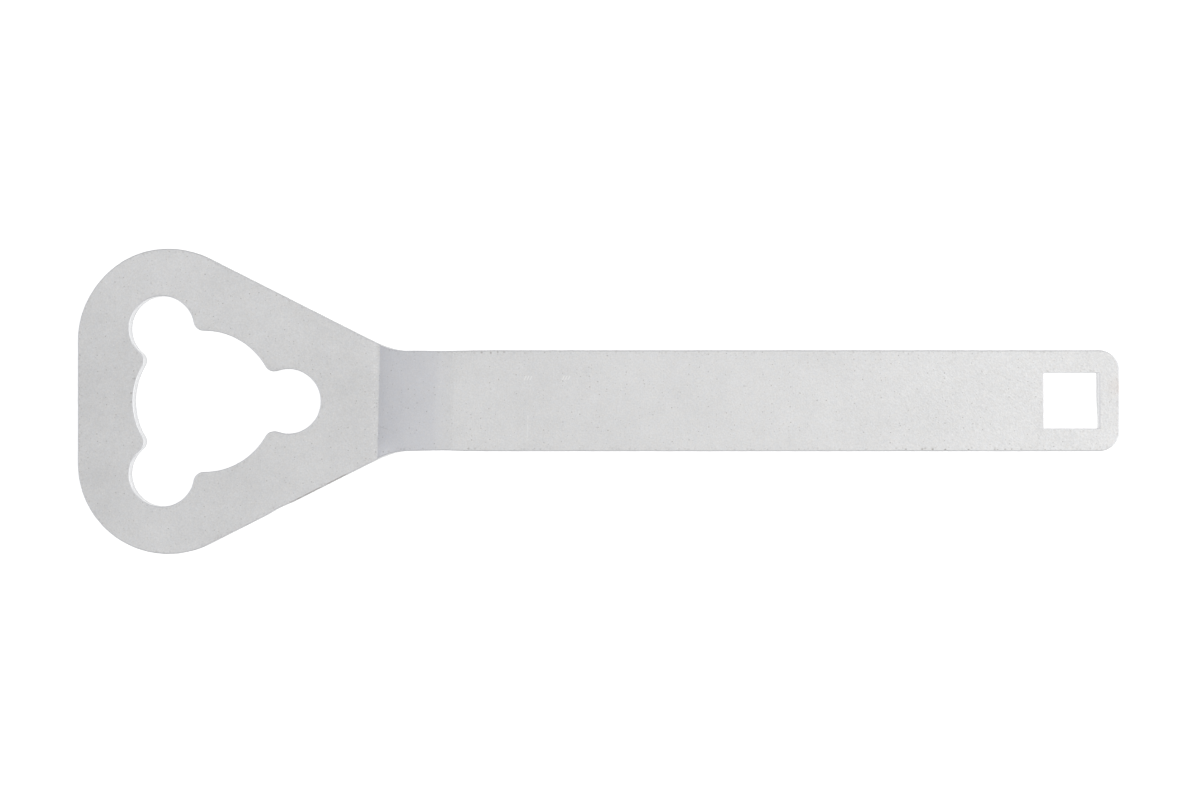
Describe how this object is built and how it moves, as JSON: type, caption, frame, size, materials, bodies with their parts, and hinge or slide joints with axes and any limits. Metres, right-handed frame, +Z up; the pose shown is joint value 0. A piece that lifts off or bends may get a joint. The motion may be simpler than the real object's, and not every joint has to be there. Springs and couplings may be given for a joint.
{
  "type": "fire hydrant wrench",
  "caption": "Flat cranked steel hydrant wrench: triangular head with a lobed socket, straight strap handle, square socket near its rounded end.",
  "frame": {"origin": "centre of the three-lobed socket, on the underside of the head, which is the side that goes down onto the hydrant", "axes": "+X from the three-lobed socket along the handle to the square socket; +Y across the handle; +Z up through the plate, the way the crank lifts the strap"},
  "size_m": [0.4153, 0.123, 0.021],
  "materials": {
    "galvanised_steel": "matte"
  },
  "bodies": {
    "root": {"wrench_plate": "galvanised_steel"}
  },
  "joints": []
}
